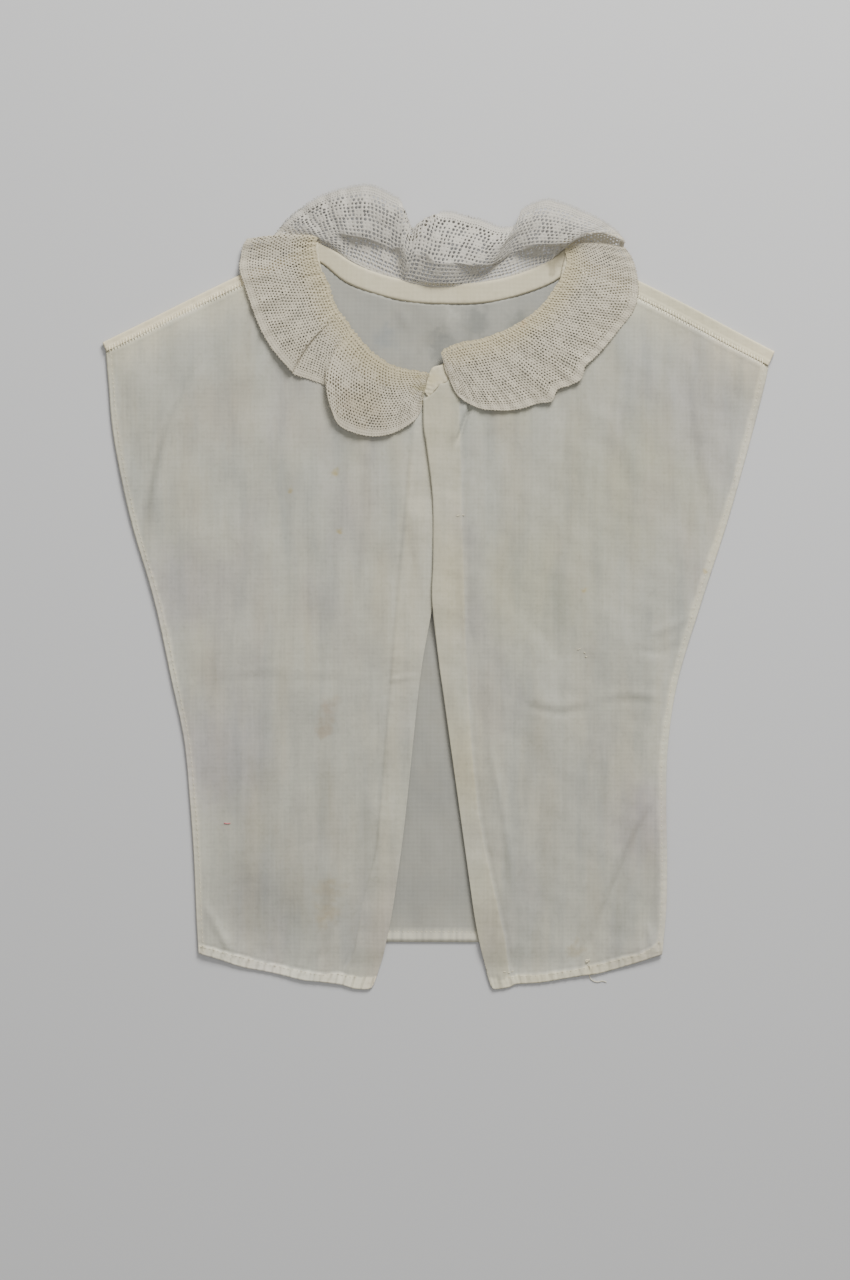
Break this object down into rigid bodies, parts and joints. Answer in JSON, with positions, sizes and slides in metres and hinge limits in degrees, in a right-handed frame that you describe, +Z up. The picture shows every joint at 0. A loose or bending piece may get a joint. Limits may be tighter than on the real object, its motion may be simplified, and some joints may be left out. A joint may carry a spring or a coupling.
{
  "type": "cotton chemisette jabot with gathered lace neck frill, laid flat",
  "caption": "White cotton false-shirt front laid flat, open at the front and sides, with a narrow neckband and a gathered frill of net lace round the neck.",
  "frame": {"origin": "on the surface the garment lies on, under the middle of its outline", "axes": "+Y from the bottom hem to the neck, +X to the viewer's right as seen from above, +Z up off the surface"},
  "size_m": [0.403, 0.4811, 0.0107],
  "materials": {
    "cotton_back": "plain-woven cotton, inside face, matt",
    "cotton_front": "plain-woven fine cotton, washed and aged off-white, matt",
    "cotton_band": "plain-woven cotton, double thickness, slightly yellowed",
    "net_lace": "cotton net lace with dense dots and border, ecru"
  },
  "bodies": {
    "root": {"back_panel": "cotton_back", "left_front": "cotton_front", "right_front": "cotton_front", "neckband": "cotton_band", "lace_frill": "net_lace"}
  },
  "joints": []
}
